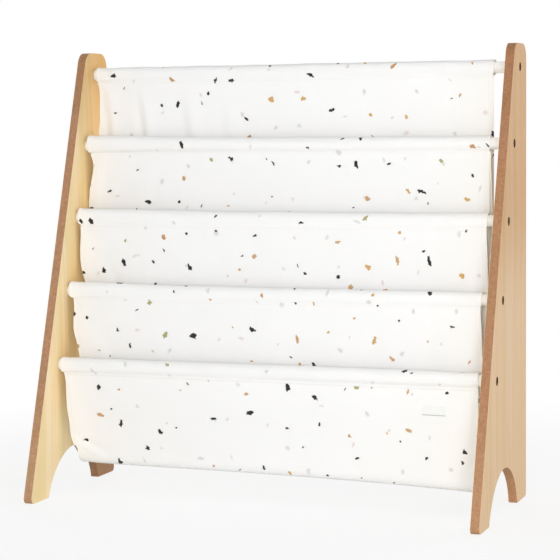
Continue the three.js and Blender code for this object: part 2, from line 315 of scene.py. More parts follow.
# Side boards: pale wood face, brown fibreboard edges under clear lacquer
boards = {
    "shader": {"Specular IOR Level": 0.08},
    "face": (0.975, 0.76, 0.45),
    "faceDark": (0.81, 0.545, 0.26),
    "facePale": (0.98, 0.82, 0.57),
    "faceOlive": (0.9, 0.72, 0.38),
    # painted shade: the outer faces are darker and redder than the inner ones, which the cloth lights
    "outerPaintedShade": (0.87, 0.77, 0.77),
    # painted shade: the wood darkens towards the top of the boards, where less light falls
    "topPaintedShade": (0.8, 0.665, 0.49),
    # painted warm shade and bounce light on the inner faces behind the line of the tubes
    "paintedWarmShade": (1.05, 0.91, 0.7),
    "shadedFoot": (0.43, 0.3, 0.26),
    "edge": (0.46, 0.215, 0.115),
    "edgeDark": (0.25, 0.105, 0.052),
    "edgePale": (0.62, 0.335, 0.205),
    "edgeOlive": (0.38, 0.25, 0.115),
    # painted light and shade on the edges: darker at the top, lighter at the foot and on the left board
    "edgeTopShade": (0.87, 0.81, 0.77),
    "edgeFootLight": (1.12, 1.17, 1.18),
    "edgeLeftLight": (1.06, 1.14, 1.18),
    "edgeShaded": (0.68, 0.62, 0.64),
    # painted shade in the bolt holes
    "holeShade": (0.05, 0.034, 0.02),
    "holeShadePast": 1.6 * mm,  # round a bolt's head
    "faceDepth": 0.25 * mm,  # of the wood face, before the brown core shows
    "faceEase": 0.4,  # of that depth, either way
    "roundOver": 0.9 * mm,
    # the grain bends: turns per metre along x, y and z and detail of its noise, and how far
    "bend": ((3, 7, 2.2), 2),
    "bendReach": 50 * mm,
    # layers of upright grain: turns per metre, detail and roughness of the noise, where it sets
    # in and is full, strength and colour
    "grain": {
        "broad": ((20, 45, 1.3), 2, 0.5, 0.42, 0.72, 0.75, "facePale"),
        "bands": ((35, 62, 0.9), 1, 0.5, 0.45, 0.62, 0.75, "faceOlive"),
        "streaks": ((60, 210, 3.5), 3, 0.6, 0.5, 0.78, 0.6, "faceDark"),
        "pores": ((300, 1500, 28), 2, 0.5, 0.58, 0.8, 0.3, "faceDark"),
    },
    # layers of pressed fibres in the core: scale, fine scale, contrast, strength and colour
    "core": {
        "blotches": (70, 4, 3, 0.6, "edgePale"),
        "stains": (24, 5, 3, 0.5, "edgeOlive"),
        "fibres": (330, 4, 3.4, 0.5, "edgeDark"),
    },
    # where a mask sets in and is full
    "outer": (-1 * mm, 1 * mm),  # outward from the middle of the board
    # where painted top shade sets in and is full
    "top": (440 * mm, 620 * mm),
    "outerShadeRise": 200 * mm,  # painted top shade on the outer face starts this much lower
    "deep": (-32 * mm, 24 * mm),  # painted warm shade, behind the line of the tubes
    "deepUp": (90 * mm, 170 * mm),
    "shadeUp": (62 * mm, 34 * mm),
    "shadeBack": (30 * mm, 50 * mm),
    # where painted edge shade at the top and painted edge light at the foot set in and are full
    "high": (420 * mm, 600 * mm),
    "foot": (150 * mm, 40 * mm),
    "roughness": 0.36,
    "edgeRougher": 0.08,
    "unevenRoughness": 0.1,
    "relief": (0.08 * mm, 0.6),  # depth and strength
    "reliefShares": (0.5, -0.5, 0.8),  # of the streaks, the pores and the fibres
}


def makeBoardFinish():
    finish, shader = newFinish("boardFinish", boards["shader"])
    spot = spotOn()
    side, back, up = partsOf(spot)
    outward = calc("SUBTRACT", calc("ABSOLUTE", side), (boardInner + boardOuter) / 2)
    depth = calc("SUBTRACT", (boardOuter - boardInner) / 2, calc("ABSOLUTE", outward))
    ease = boards["faceDepth"] * boards["faceEase"]
    isEdge = fadeBetween(depth, boards["faceDepth"] - ease, boards["faceDepth"] + ease)

    shifted = timesPlus(grainOf(spot, *boards["bend"]), boards["bendReach"], back)
    bent = addNode("ShaderNodeCombineXYZ", {"X": side, "Y": shifted, "Z": up}).outputs[0]
    face, grain = boards["face"], {}
    for name, (turns, detail, roughness, start, full, strength, tint) in boards["grain"].items():
        grain[name] = grainOf(bent, turns, detail, roughness)
        amount = times(fadeBetween(grain[name], start, full), strength)
        face = blendColour(amount, face, boards[tint])
    edge, core = boards["edge"], {}
    for name, (scale, fine, contrast, strength, tint) in boards["core"].items():
        core[name] = useGroup(unevenness, spot, Scale=scale, Fine=fine, Contrast=contrast)
        edge = blendColour(times(core[name]["Mask"], strength), edge, boards[tint])

    def faded(name, value):
        return fadeBetween(value, *boards[name])

    def tinted(colour, masks):
        for name, amount in masks.items():
            tint = blendColour(amount, (1, 1, 1), boards[name])
            colour = vectorCalc("MULTIPLY", colour, tint)
        return colour

    # painted light and shade: the outer faces are darker and redder, the wood darkens towards the top
    # of the board, and the inner faces carry warm shade from the line of the tubes backwards
    isOuter = faded("outer", outward)
    isInner = calc("SUBTRACT", 1, isOuter)
    isTopShaded = faded("top", timesPlus(isOuter, boards["outerShadeRise"], up))
    lean = (rods[0].y - rods[-1].y) / (rods[0].z - rods[-1].z)
    tubeLine = timesPlus(up, lean, rods[0].y - rods[0].z * lean)
    inWarmShade = times(faded("deep", calc("SUBTRACT", back, tubeLine)), isInner)
    inWarmShade = times(inWarmShade, faded("deepUp", up))
    # painted shade: the rear foot of the left board stands in the shade of the cloth and is darkened there
    isLeft = calc("LESS_THAN", side, 0)
    isShaded = times(times(faded("shadeUp", up), faded("shadeBack", back)), isLeft)
    inShade = times(isShaded, isInner)
    masks = {"outerPaintedShade": isOuter, "topPaintedShade": isTopShaded, "paintedWarmShade": inWarmShade, "shadedFoot": inShade}
    face = tinted(face, masks)
    # painted light and shade on the edges
    masks = {"edgeTopShade": faded("high", up), "edgeFootLight": faded("foot", up), "edgeLeftLight": isLeft}
    edge = tinted(edge, {**masks, "edgeShaded": isShaded})

    # painted shade: the walls of the bolt holes are darkened
    wallRadius = boltHead / 2 + boards["holeShadePast"]
    flattened = vectorCalc("MULTIPLY", spot, (0, 1, 1))
    inHoleShade = 0
    for rod in rods:
        far = lengthOf(vectorCalc("SUBTRACT", flattened, (0, rod.y, rod.z)))
        inHoleShade = calc("MAXIMUM", inHoleShade, calc("LESS_THAN", far, wallRadius))
    edge = blendColour(inHoleShade, edge, boards["holeShade"])

    roughness = timesPlus(isEdge, boards["edgeRougher"], boards["roughness"])
    roughness = timesPlus(core["blotches"]["Mask"], boards["unevenRoughness"], roughness)
    ofStreaks, ofPores, ofFibres = boards["reliefShares"]
    grainHeight = timesPlus(grain["streaks"], ofStreaks, times(grain["pores"], ofPores))
    rise = calc("SUBTRACT", times(core["fibres"]["Height"], ofFibres), grainHeight)
    height = timesPlus(isEdge, rise, grainHeight)
    colour = blendColour(isEdge, face, edge)
    dressShader(shader, colour, roughness, height, *boards["relief"])
    return finish


softening = {
    "weldGap": 0.005 * mm,
    "crisp": math.radians(32),  # edges steeper than this stay sharp in the shading
    "bevelFrom": math.radians(40),
}


# Joins the loose triangles of a CAD mesh and lets its rounded faces shade smoothly
def makeJoinedFaces():
    tree = startTree(bpy.data.node_groups.new("joinedFaces", "GeometryNodeTree"))
    for way in ("INPUT", "OUTPUT"):
        tree.interface.new_socket(name="Mesh", in_out=way, socket_type="NodeSocketGeometry")
    mesh = addNode("NodeGroupInput").outputs[0]
    angle = addNode("GeometryNodeInputMeshEdgeAngle").outputs[0]
    steep = addNode("FunctionNodeCompare", {"A": angle, "B": softening["crisp"]},
                    data_type="FLOAT", operation="GREATER_THAN").outputs[0]
    for kind, inputs, settings in (
        ("GeometryNodeRemoveAttribute", {"Name": "custom_normal"}, {}),
        ("GeometryNodeMergeByDistance", {"Distance": softening["weldGap"]}, {}),
        ("GeometryNodeSetShadeSmooth", {}, {"domain": "FACE"}),
        ("GeometryNodeSetShadeSmooth", {"Selection": steep, "Shade Smooth": False}, {"domain": "EDGE"}),
    ):
        mesh = addNode(kind, {"Geometry": mesh, **inputs}, **settings).outputs[0]
    addNode("NodeGroupOutput", {0: mesh})
    return tree


joinedFaces = makeJoinedFaces()


def dressNode(name, finish, roundOver, segments=2):
    node = nodes[name]
    for slot in node.material_slots:
        slot.material = finish
    node.modifiers.new("joinedFaces", "NODES").node_group = joinedFaces
    bevel = node.modifiers.new("roundOver", "BEVEL")
    bevel.width = roundOver
    bevel.segments = segments
    bevel.limit_method = "ANGLE"
    bevel.angle_limit = softening["bevelFrom"]
    bevel.miter_outer = "MITER_ARC"
    even = node.modifiers.new("evenNormals", "WEIGHTED_NORMAL")
    even.keep_sharp = True


boardFinish = makeBoardFinish()
for side in ("left", "right"):
    dressNode(f"side_board_{side}", boardFinish, boards["roundOver"], 3)
print("side boards finished")


# Tubes, bolts and threaded plugs
tubes = {
    "shader": {"Coat Weight": 0.25, "Coat Roughness": 0.12},
    "paint": (0.92, 0.918, 0.9),
    "paintDull": (0.84, 0.835, 0.81),
    "cloudy": {"Scale": 30, "Fine": 9, "Contrast": 2},
    "peel": {"Scale": 420, "Fine": 3, "Contrast": 1},
    "dullReach": 3 * mm,  # the paint is duller within this distance of the board
    "dullShare": 0.7,
    "cloudyShare": 0.12,
    "roughness": (0.16, 0.2),  # of the clouds, and least
    "relief": (0.05 * mm, 0.35),
    "roundOver": 0.25 * mm,
}
metals = {
    "boltBronze": {
        "bright": (0.27, 0.165, 0.06),
        "dull": (0.045, 0.028, 0.012),
        "rim": (0.6, 0.4, 0.17),
        "roughness": 0.42,
        "marks": (9000, 500, 500),  # turned in rings, per metre along x, y and z
    },
    "plugSteel": {
        "bright": (0.56, 0.55, 0.53),
        "dull": (0.33, 0.325, 0.315),
        "rim": (1, 1, 1),
        "roughness": 0.4,
        "marks": (600, 5000, 5000),  # drawn along its length
    },
}
fixings = {
    "stains": {"Scale": 330, "Fine": 5, "Contrast": 2.4},
    "markShare": 0.25,
    "stainRoughness": 0.25,
    "gloss": 0.1,  # how much smoother clean metal is
    "relief": (0.02 * mm, 0.5),
    "boltRound": 0.3 * mm,
    "plugRound": 0.2 * mm,
}


def makeTubePaint():
    finish, shader = newFinish("tubePaint", tubes["shader"])
    spot = spotOn()
    cloudy = useGroup(unevenness, spot, **tubes["cloudy"])["Mask"]
    peel = useGroup(unevenness, spot, **tubes["peel"])["Height"]
    away = calc("ABSOLUTE", partsOf(spot)["X"])
    dullNearBoard = times(fadeBetween(away, boardInner - tubes["dullReach"], boardInner), cloudy)
    amount = timesPlus(dullNearBoard, tubes["dullShare"], times(cloudy, tubes["cloudyShare"]))
    colour = blendColour(amount, tubes["paint"], tubes["paintDull"])
    roughness = timesPlus(cloudy, *tubes["roughness"])
    dressShader(shader, colour, roughness, peel, *tubes["relief"])
    return finish


def makeMetal(name, bright, dull, rim, roughness, marks):
    finish, shader = newFinish(name, {"Metallic": 1, "Specular Tint": rim})
    spot = spotOn()
    stained = useGroup(unevenness, spot, **fixings["stains"])["Mask"]
    marked = grainOf(spot, marks)
    colour = blendColour(stained, bright, dull)
    colour = blendColour(times(marked, fixings["markShare"]), colour, dull)
    uneven = timesPlus(stained, fixings["stainRoughness"], roughness - fixings["gloss"])
    dressShader(shader, colour, uneven, marked, *fixings["relief"])
    return finish


tubePaint = makeTubePaint()
boltBronze, plugSteel = (makeMetal(name, **values) for name, values in metals.items())
for number in range(1, rodCount + 1):
    dressNode(f"cross_tube_{number}", tubePaint, tubes["roundOver"])
    for side in ("left", "right"):
        dressNode(f"bolt_{side}_{number}", boltBronze, fixings["boltRound"])
        dressNode(f"threaded_plug_{side}_{number}", plugSteel, fixings["plugRound"])
print("tubes and fixings finished")


# The cloth: a printed canvas of two layers
canvas = {
    "shader": {
        "Sheen Weight": 0.05, "Sheen Roughness": 0.5, "Specular IOR Level": 0.2,
        "Subsurface Weight": 0.2, "Subsurface Radius": (1, 0.96, 0.92), "Subsurface Scale": 0.8 * mm,
    },
    "white": (0.94, 0.934, 0.93),
    "shade": (0.915, 0.893, 0.88),
    "cloudy": {"Scale": 16, "Fine": 5, "Contrast": 1.6},
    "cloudyShare": 0.5,
    "threads": {"Pitch": 0.55 * mm, "Slub": 0.35},
    "slubFade": (0.1, 0.5),
    "slubShare": 0.35,
    "charcoal": (0.018, 0.018, 0.02),
    # print: cell, radius, spread, share, stretch, softness of the edge, seed
    "bold": (47 * mm, 4.2 * mm, 0.42, 0.96, 1.6, 0.08, 3),
    "specks": (80 * mm, 2.2 * mm, 0.2, 0.6, 1.9, 0.12, 23),
    "faint": (55 * mm, 3.7 * mm, 0.3, 0.9, 1.6, 0.3, 71),
    # shares of the bold chips: charcoal up to the first, then mustard, tan, clay and olive
    "boldTints": ((0, (0.018, 0.018, 0.02)), (0.61, (0.64, 0.39, 0.125)), (0.8, (0.6, 0.36, 0.17)),
                  (0.91, (0.56, 0.3, 0.13)), (0.955, (0.42, 0.38, 0.16))),
    "faintTints": ((0, (0.66, 0.645, 0.64)), (0.4, (0.79, 0.66, 0.66)), (0.66, (0.72, 0.695, 0.7)),
                   (0.86, (0.68, 0.7, 0.64))),
    "inkShares": {"faint": 0.75, "bold": 0.99, "specks": 0.98},
    "thinInk": (900, 0.53, 0.72, 0.05),  # on the threads' tops: turns per metre, from, to, share
    "roughness": (0.1, 0.82),
    "relief": (0.12 * mm, 0.5),
}


def makeCanvas():
    finish, shader = newFinish("printedCanvas", canvas["shader"])
    cut = cutOn()
    cloudy = useGroup(unevenness, spotOn(), **canvas["cloudy"])["Mask"]
    threads = useGroup(weave, cut, **canvas["threads"])
    amount = times(cloudy, canvas["cloudyShare"])
    colour = blendColour(amount, canvas["white"], canvas["shade"])
    slubs = fadeBetween(threads["Tone"], *canvas["slubFade"])
    colour = blendColour(times(slubs, canvas["slubShare"]), colour, canvas["shade"])

    def scatter(name):
        numbers = ("Cell", "Radius", "Spread", "Share", "Stretch", "Soft", "Seed")
        chip = useGroup(chips, cut, **dict(zip(numbers, canvas[name])))
        return times(chip["Mask"], canvas["inkShares"][name]), chip["Pick"]

    def tints(pick, stops):
        picker = addNode("ShaderNodeValToRGB", {"Fac": pick})
        ramp = picker.color_ramp
        ramp.interpolation = "CONSTANT"
        while len(ramp.elements) < len(stops):
            ramp.elements.new(0.5)
        for element, (place, tint) in zip(ramp.elements, stops):
            element.position = place
            element.color = (*tint, 1)
        return picker.outputs["Color"]

    amount, pick = scatter("faint")
    colour = blendColour(amount, colour, tints(pick, canvas["faintTints"]))
    amount, pick = scatter("bold")
    turns, thinFrom, thinTo, share = canvas["thinInk"]
    thin = times(fadeBetween(noiseOf(cut, turns, 1), thinFrom, thinTo), share)
    ink = blendColour(thin, tints(pick, canvas["boldTints"]), canvas["white"])
    colour = blendColour(amount, colour, ink)
    amount, pick = scatter("specks")
    colour = blendColour(amount, colour, canvas["charcoal"])
    roughness = timesPlus(cloudy, *canvas["roughness"])
    dressShader(shader, colour, roughness, threads["Height"], *canvas["relief"])
    return finish


sling = {
    "width": 586 * mm,
    "thickness": 1 * mm,
    # a sleeve: the seam under its tube is set off from the middle, and its section has steps round
    # the tube and down the loose front
    "sleeveRadius": 8.8 * mm,
    "seamTop": -10.95 * mm,
    "seamMiddle": -12.2 * mm,
    "seamBottom": -13.5 * mm,
    "seamOffset": 0.55 * mm,
    "arcSteps": 12,
    "dropSteps": 6,
    "roundness": 2.15,  # 2 is a round front, more is squarer
    "stiffness": 2.4,  # squarer by this at the left hem, fading over a share of the width
    "stiffReach": 0.09,
    "fullness": (0.35, 0.2, 0.55),  # of the loose front: upper, more where squarer, lower
    "liftPower": 1.5,
    "loose": 0.9 * mm,
    "flare": 0.6 * mm,  # of the open ends
    "flareReach": 6 * mm,
    "frontFrom": 17,  # section rows where the ends start to follow the sheet below
    "backUntil": 5,
    "followOver": 4,
    "shifts": (-7, -7.5, -5, -5.5, -5),  # each tube's sleeve, mm to the right
    # a pocket
    "depth": 139 * mm,
    "rightSag": 9 * mm,
    "sagPower": 3,
    "cornerLift": 2 * mm,
    "cornerPower": 18,
    "rearLean": 3 * mm,
    "frontLean": 6 * mm,
    "hangEase": 0.45,
    "rearSteps": 28,
    "rearCrowding": 0.6,
    "bendSteps": 7,
    "frontSteps": (7, 7, 7, 27),
    "frontCrowding": 0.5,
    "gather": 0.35 * mm,
    "gatherReach": 22,  # mm below the seam, like the next
    "gatherStart": 4,
    "rearSwell": 0.9 * mm,
    "frontSwell": 0.8 * mm,
    "swellPower": 0.7,
    # columns, with the ones in each hem listed, in mm from the edge
    "columns": 160,
    "hemColumns": (0, 0.25, 0.7, 1.4, 3, 5, 6, 6.5, 7, 8.2, 9, 9.7, 11.5, 14),
    "stitchColumn": 7,
    "leftCrowding": (0.25, 1.8),
    "hemWidth": 9.4 * mm,
    "hemExtra": 0.25 * mm,
    "groove": 0.06 * mm,
    "edgeRound": 0.7 * mm,
    "edgeLeast": 0.04,
}
# How far in from its flat place each end of a sleeve lies, left and right
sleeveEnds = ((2.5, -4.2), (2.5, -1), (-1, 1), (-0.5, 1.7), (-0.5, 4.3))
# The same for the side edges of the hanging sheets: mm below the seam, mm to the right
rearLeft = (
    ((0, 4), (6, 5.6), (14, 6), (34, 5.4), (42, 5), (50, 5.2), (58, 4.6), (67, 2.8), (72, 2.4),
     (130, 7), (180, 13), (200, 20)),
    ((0, 4), (6, 6.4), (13, 8.2), (21, 7.6), (31, 5.4), (42, 2.8), (50, 1), (60, 0.4), (70, -1),
     (130, 5), (180, 12), (200, 20)),
    ((0, 2), (10, 2), (30, 0.6), (48, 0.4), (58, 1.8), (66, 3.6), (75, 6.8), (130, 9), (180, 14),
     (200, 20)),
    ((0, 5.5), (8, 6.4), (18, 5.6), (27, 4.4), (36, 4.2), (44, 4.6), (54, 8), (64, 10), (76, 12.4),
     (130, 15), (180, 18), (200, 20)),
)
rearRight = (
    ((0, -5.2), (75, -4.7), (200, -6)),
    ((0, -2.6), (75, -2.2), (200, -4)),
    ((0, -0.5), (30, 0.5), (75, 1.5), (200, -3)),
    ((0, -0.3), (30, 1.5), (75, 2.2), (200, -2)),
)
frontLeft = ((0, 2.6), (8, 4), (50, 4), (67, 5.8), (81, 5.6), (90, 6.8), (98, 10), (106, 13.5), (114, 17))
frontRight = ((0, 3.3), (60, 2), (110, -1), (114, -2))
# A front sheet that hides behind the next pocket keeps just inside that one's edge
hidden = {"inset": 1.5, "until": 80, "foot": [(100, 13), (114, 20)], "right": ((0, -1), (60, 0), (114, -3))}
hanging = [*zip(rearLeft, rearRight), (frontLeft, frontRight)]
rising = [[((0, end),) for end in sleeveEnds[0]]]
for table in rearLeft[1:]:
    edge = [(below, right + hidden["inset"]) for below, right in table if below < hidden["until"]]
    rising.append((edge + hidden["foot"], hidden["right"]))
rising.append((frontLeft, frontRight))
# Hundredths of the width: how far forward each seam is drawn, and how far a loose sleeve stands up
seamForward = (
    ((0, 6.2), (20, 7.6), (100, 7)),
    ((0, 1.6), (25, 2.2), (50, 4), (100, 4.6)),
    ((0, 7.2), (30, 7.6), (100, 7.2)),
    ((0, 7.2), (30, 7.6), (100, 6.6)),
    ((0, 3.6), (30, 3.8), (100, 2.6)),
)
sleeveLift = (
    ((0, 0.4), (100, 0.2)),
    ((0, 4.4), (10, 3.6), (30, 1), (45, 0.2), (100, 0)),
    ((0, 3.4), (10, 2.6), (28, 0.6), (40, 0), (100, 0)),
    ((0, 2.6), (10, 2), (25, 0.4), (35, 0), (100, 0.3)),
    ((0, 0.6), (100, 0.2)),
)
# Seeded ripples: first seed, shortest and longest wave, how many, how slanted, and the length of
# cloth that they run down
waves = {
    "sleeve": (40, 30 * mm, 200 * mm, 9, 1, 50 * mm),
    "gathers": (60, 10 * mm, 19 * mm, 8, 0.15, 20 * mm),
    "rear": (80, 70 * mm, 280 * mm, 8, 1, 210 * mm),
    "front": (92, 80 * mm, 300 * mm, 8, 1, 110 * mm),
}


# Shares across the cloth, crowded at both hems and on the left, where the folds are
def columnShares():
    hem = np.array(sling["hemColumns"]) * mm / sling["width"]
    inner = sling["columns"] + 1 - 2 * len(hem)
    step = np.linspace(0, 1, inner + 2)[1:-1]
    crowded, power = sling["leftCrowding"]
    bent = (1 - crowded) * step + crowded * step ** power
    return np.concatenate([hem, hem[-1] + (1 - 2 * hem[-1]) * bent, 1 - hem[::-1]])


# A sum of ripples, about -1 to 1, over the distance across and the share of the way down
def ripples(name, level, across, share, start=0):
    seed, shortest, longest, count, slant, run = waves[name]
    dice = np.random.default_rng(seed + level)
    along = start + share * run
    total = np.zeros(across.shape)
    for _ in range(count):
        turns = 1 / math.exp(dice.uniform(math.log(shortest), math.log(longest)))
        angle = dice.uniform(-1, 1) * slant * math.pi / 2
        phase = dice.uniform(0, 2 * math.pi)
        place = across * math.cos(angle) + along * math.sin(angle)
        total += np.sin(2 * math.pi * turns * place + phase)
    return total / math.sqrt(count * 1.4)


# A cubic curve through four points given as shares of it
def cubic(first, second, third, last, step):
    rest = 1 - step
    return rest ** 3 * first + 3 * rest ** 2 * step * second + 3 * rest * step ** 2 * third + step ** 3 * last


# Values read from a table of pairs, rounded off over a few steps
def alongTable(table, places, ease=3):
    starts, values = zip(*table)
    return sum(np.interp(places + ease * step, starts, values) for step in (-1, -0.6, -0.2, 0.2, 0.6, 1)) / 6


def smooth(share):
    share = np.clip(share, 0, 1)
    return share * share * (3 - 2 * share)


# A numbered step as a share of the way, crowded at both ends
def crowdedStep(number, count, crowding):
    step = number / count
    return step - math.sin(2 * math.pi * step) / (2 * math.pi) * crowding


def seamReach(level, across):
    return alongTable(seamForward[level], across * 100, 8) * mm


# A sleeve's section: seam, round the back of the tube, over it, down its loose front, seam
def sleeveRows(level, across):
    offset, radius, seamTop = sling["seamOffset"], sling["sleeveRadius"], sling["seamTop"]
    lift = alongTable(sleeveLift[level], across * 100, 4) * mm
    forward = seamReach(level, across)
    back, front = offset - forward, -offset - forward
    lean = np.arctan2(seamTop, back) + np.arccos(radius / np.hypot(back, seamTop))
    heights = [sling[name] + 0 * across for name in ("seamBottom", "seamMiddle", "seamTop")]
    line = [(back, height) for height in heights]
    boxy = sling["roundness"] + sling["stiffness"] * np.exp(-(across / sling["stiffReach"]) ** 2)
    arc = []
    for step in range(sling["arcSteps"] + 1):
        angle = lean + (math.pi - lean) * step / sling["arcSteps"]
        turnY, turnZ = np.cos(angle), np.sin(angle)
        square = (np.abs(turnY) ** boxy + np.abs(turnZ) ** boxy) ** (-1 / boxy)
        size = radius + lift * np.maximum(0, turnZ) ** sling["liftPower"]
        size = size * np.where((turnY < 0) & (turnZ > 0), square, 1)
        arc.append((size * turnY, size * turnZ))
    line.append(((back + arc[0][0]) / 2, (seamTop + arc[0][1]) / 2))
    line += arc
    upper, squarer, lower = sling["fullness"]
    for step in range(1, sling["dropSteps"]):
        share = step / sling["dropSteps"]
        y = cubic(-radius, -radius, front, front, share)
        z = cubic(0, seamTop * (upper + squarer * boxy), seamTop * lower, seamTop, share)
        line.append((y, z))
    line += [(front, height) for height in reversed(heights)]
    return [(rods[level].y + y, rods[level].z + z) for y, z in line]


# Soft folds, each a ridge beside a hollow: sheet, mm from the left edge and mm below the seam at
# both ends, width, depth. Sheet 4 is the front of the lowest pocket.
folds = [
    (0, (8, -10), (28, 130), 8, -2.2),
    (0, (64, 5), (84, 135), 8.5, -3),
    (0, (124, -10), (160, 140), 10, -2.3),
    (0, (190, 0), (212, 140), 10, -1.5),
    (0, (318, 70), (330, -8), 9, 0.8),
    (1, (20, -12), (14, 90), 8, 0.9),
    (1, (96, 0), (88, 110), 12, 0.8),
    (2, (30, -5), (52, 140), 11, 0.8),
    (2, (170, 10), (190, 140), 13, 0.6),
    (3, (18, 0), (58, 120), 10, 1),
    (3, (520, 0), (500, 120), 12, 0.8),
    (4, (-6, 82), (58, 120), 6, 1.9),
    (4, (18, 20), (30, 118), 12, 0.7),
    (4, (556, 10), (548, 118), 9, 0.8),
]
foldShape = {"apart": 0.45, "hollow": 1.15, "endPower": 1.3}


def foldReach(sheet, across, below):
    reach = 0
    for which, (startX, startZ), (endX, endZ), width, depth in folds:
        if which != sheet:
            continue
        run = np.array([endX - startX, endZ - startZ], float)
        length = np.hypot(*run)
        run = run / length
        x, z = across * sling["width"] / mm - startX, below - startZ
        along = (x * run[0] + z * run[1]) / length
        aside = (x * run[1] - z * run[0]) * np.sign(run[1])
        strength = np.sin(math.pi * np.clip(along, 0, 1)) ** foldShape["endPower"]
        ridge, hollow = (np.exp(-(aside / width + side * foldShape["apart"]) ** 2) for side in (1, -1))
        reach = reach + depth * mm * strength * (ridge - foldShape["hollow"] * hollow)
    return reach


# The places of a row's points, its ends so many mm to the right of their flat places
def acrossRow(level, across, left, right):
    flatX = sling["shifts"][level] + (across - 0.5) * sling["width"] / mm
    return (flatX + left * (1 - across) + right * across) * mm


def addSleeve(rows, level, across):
    width = across * sling["width"]
    fromEnd = np.minimum(across, 1 - across) * sling["width"]
    ends = [(end, below[0][1], behind[0][1])
            for end, below, behind in zip(sleeveEnds[level], hanging[level], rising[level])]
    section = sleeveRows(level, across)
    for number, (y, z) in enumerate(section):
        share = number / (len(section) - 1)
        bulge = math.sin(math.pi * share)
        loose = np.maximum(0, (ripples("sleeve", level, width, share, level) + 1) / 2)
        loose = sling["loose"] * loose * bulge ** 2
        loose = loose + sling["flare"] * np.exp(-(fromEnd / sling["flareReach"]) ** 2) * bulge
        outY, outZ = y - rods[level].y, z - rods[level].z
        size = np.hypot(outY, outZ)
        onFront = smooth((number - sling["frontFrom"]) / sling["followOver"])
        onBack = smooth((sling["backUntil"] - number) / sling["followOver"])
        x = acrossRow(level, across, *(end + (below - end) * onFront + (behind - end) * onBack
                                       for end, below, behind in ends))
        rows.append((("sleeve", level, number), x, y + loose * outY / size, z + loose * outZ / size))


# The line that a sheet hangs in, from its seam to where the bend starts
def hang(top, bend, share):
    ease = (top[1] - bend[1]) * sling["hangEase"]
    y = cubic(top[0], top[0], bend[0], bend[0], share)
    z = cubic(top[1], top[1] - ease, bend[1] + ease, bend[1], share)
    return y, z


def addPocket(rows, level, across):
    width = across * sling["width"]
    upper, lower = rods[level], rods[level + 1]
    sag = sling["rightSag"] * across ** sling["sagPower"]
    depth = sling["depth"] + sag - sling["cornerLift"] * (1 - across) ** sling["cornerPower"]
    offset, seamZ = sling["seamOffset"], sling["seamBottom"]
    rearTop = (upper.y - offset - seamReach(level, across), upper.z + seamZ)
    frontTop = (lower.y + offset - seamReach(level + 1, across), lower.z + seamZ)
    bendRear, bendFront = upper.y - sling["rearLean"], lower.y + sling["frontLean"]
    radius = (bendRear - bendFront) / 2
    bendZ = lower.z - depth + radius
    for number in range(1, sling["rearSteps"] + 1):
        down = crowdedStep(number, sling["rearSteps"], sling["rearCrowding"])
        y, z = hang(rearTop, (bendRear, bendZ), down)
        below = (rearTop[1] - z) / mm
        gathers = np.maximum(0, ripples("gathers", level, width, down))
        gathers *= np.exp(-below / sling["gatherReach"]) * np.minimum(1, below / sling["gatherStart"])
        swell = ripples("rear", level, width, down) * math.sin(math.pi * down) ** sling["swellPower"]
        reach = foldReach(level, across, below) + sling["gather"] * gathers + sling["rearSwell"] * swell
        x = acrossRow(level, across, *(alongTable(edge, below[0]) for edge in hanging[level]))
        rows.append((("rear", level, number), x, y - reach, z))
    before = rows[-1][1]
    after = acrossRow(level + 1, across, *(edge[-1][1] for edge in rising[level + 1]))
    for number in range(1, sling["bendSteps"] + 1):
        share = number / sling["bendSteps"]
        y = bendFront + radius + radius * math.cos(math.pi * share)
        z = bendZ - radius * math.sin(math.pi * share)
        rows.append((("bend", level, number), before + (after - before) * smooth(share), y, z))
    steps = sling["frontSteps"][level]
    for number in range(1, steps):
        rise = crowdedStep(number, steps, sling["frontCrowding"])
        y, z = hang(frontTop, (bendFront, bendZ), 1 - rise)
        below = (frontTop[1] - z) / mm
        reach = 0
        if level == rodCount - 2:  # the only front sheet with nothing in front of it
            swell = ripples("front", level, width, rise) * math.sin(math.pi * rise) ** sling["swellPower"]
            reach = foldReach(level + 1, across, below) + sling["frontSwell"] * swell
        x = acrossRow(level + 1, across, *(alongTable(edge, below[0]) for edge in rising[level + 1]))
        rows.append((("front", level, number), x, y - reach, z))


# The middle surface of the cloth, row by row: round each tube, down, round the bend and up again
def slingSurface(across):
    rows = []
    for level in range(rodCount):
        addSleeve(rows, level, across)
        if level < rodCount - 1:
            addPocket(rows, level, across)
    labels = [row[0] for row in rows]
    middle = np.stack([np.stack(np.broadcast_arrays(*row[1:]), axis=-1) for row in rows])
    return labels, middle


# Half of the cloth's thickness towards the printed side and the reverse: rounded edges, a folded
# hem on the reverse and a groove where the hem is stitched
def clothDepths(across):
    fromEdge = np.minimum(across, 1 - across) * sling["width"]
    rim = sling["edgeRound"]
    border = np.sqrt(1 - (1 - np.clip(fromEdge / rim, sling["edgeLeast"], 1)) ** 2)
    stitched = sling["hemColumns"][sling["stitchColumn"]] * mm
    groove = sling["groove"] * np.exp(-((fromEdge - stitched) / rim) ** 2)
    hem = sling["hemExtra"] * np.clip((sling["hemWidth"] - fromEdge) / rim, 0, 1)
    half = sling["thickness"] / 2
    return border * half - groove, border * (half + hem) - groove


def meshObject(name, points, faces, finish, flat=None, shadeSmooth=True):
    mesh = bpy.data.meshes.new(name)
    mesh.from_pydata(points.tolist(), [], faces)
    if flat is not None:
        layer = mesh.uv_layers.new(name="cut")
        corners = np.zeros(len(mesh.loops), np.int32)
        mesh.loops.foreach_get("vertex_index", corners)
        layer.data.foreach_set("uv", flat[corners].astype(np.float32).ravel())
    mesh.polygons.foreach_set("use_smooth", [shadeSmooth] * len(mesh.polygons))
    mesh.materials.append(finish)
    mesh.update()
    return addObject(name, mesh)


def surfaceNormals(middle):
    down = np.gradient(middle, axis=0)
    over = np.gradient(middle, axis=1)
    normals = np.cross(down, over)
    return normals / np.linalg.norm(normals, axis=2, keepdims=True)


